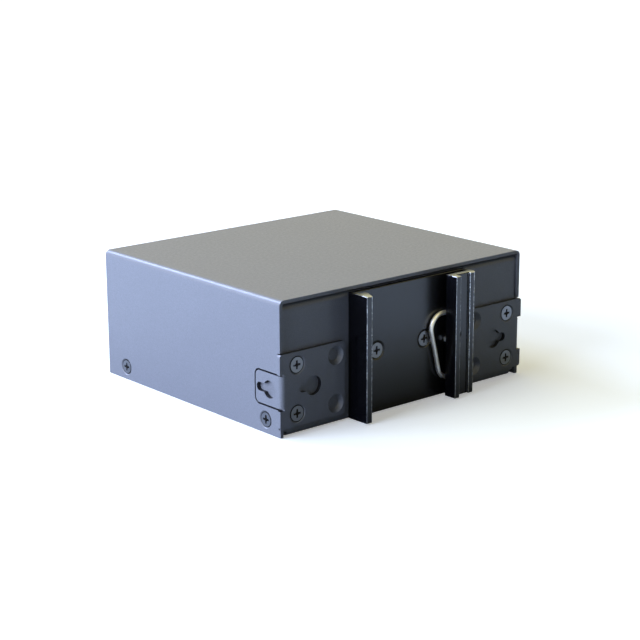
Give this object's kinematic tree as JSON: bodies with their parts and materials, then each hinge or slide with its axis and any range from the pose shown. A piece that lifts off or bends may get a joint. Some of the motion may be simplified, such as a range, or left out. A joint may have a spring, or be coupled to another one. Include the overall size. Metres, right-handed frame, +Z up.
{
  "type": "din rail ethernet switch",
  "caption": "Metal-cased network switch with an extruded rail clip and wire spring, folded wall brackets at its rear corners and a block of network sockets in front.",
  "frame": {"origin": "middle of the case's underside, on the surface it lies on", "axes": "+Z up with the case lying on its broad chassis face, +X along the long side of the rear face, +Y out of the port face; the rail clip is at -Y"},
  "size_m": [0.0946, 0.0905, 0.0388],
  "materials": {
    "case_paint": "satin fine-textured dark slate powder coat",
    "zinc_steel": "plain zinc-plated steel",
    "screw_black": "black oxide with grey burnished rims",
    "clip_anodised": "black anodised extrusion with bare cut ends",
    "spring_steel": "bright drawn spring wire",
    "board_green": "green solder mask",
    "brass": "plain turned brass",
    "black_plastic": "matte moulded plastic",
    "tinned_sheet": "tinned sheet",
    "contact_gold": "gold-plated spring contacts",
    "light_green": "diffused green lens",
    "inlet_green": "moulded green nylon",
    "capacitor_can": "sleeved can"
  },
  "bodies": {
    "casing": {"top_cover": "case_paint", "chassis": "case_paint", "clinch_nuts": "zinc_steel", "cover_screws": "screw_black", "left_bracket": "case_paint", "right_bracket": "case_paint", "bracket_screws": "screw_black", "din_clip": "clip_anodised", "clip_screws": "screw_black", "circuit_board": "board_green", "board_standoffs": "brass", "board_screws": "zinc_steel", "jack_housing": "black_plastic", "jack_shield": "tinned_sheet", "jack_contacts": "contact_gold", "led_holder": "black_plastic", "status_leds": "light_green", "power_inlet": "inlet_green", "inlet_pins": "zinc_steel", "switch_chip": "black_plastic", "heat_sink": "clip_anodised", "magnetics_modules": "black_plastic", "power_capacitors": "capacitor_can", "power_inductor": "black_plastic", "crystal": "tinned_sheet", "power_regulator": "black_plastic"},
    "spring": {"rail_spring": "spring_steel"}
  },
  "joints": [
    {"name": "spring_press", "type": "slide", "parent": "casing", "child": "spring", "axis": [1, 0, 0], "range_m": [0, 0.0025], "stiffness_N_per_m": 1500}
  ]
}
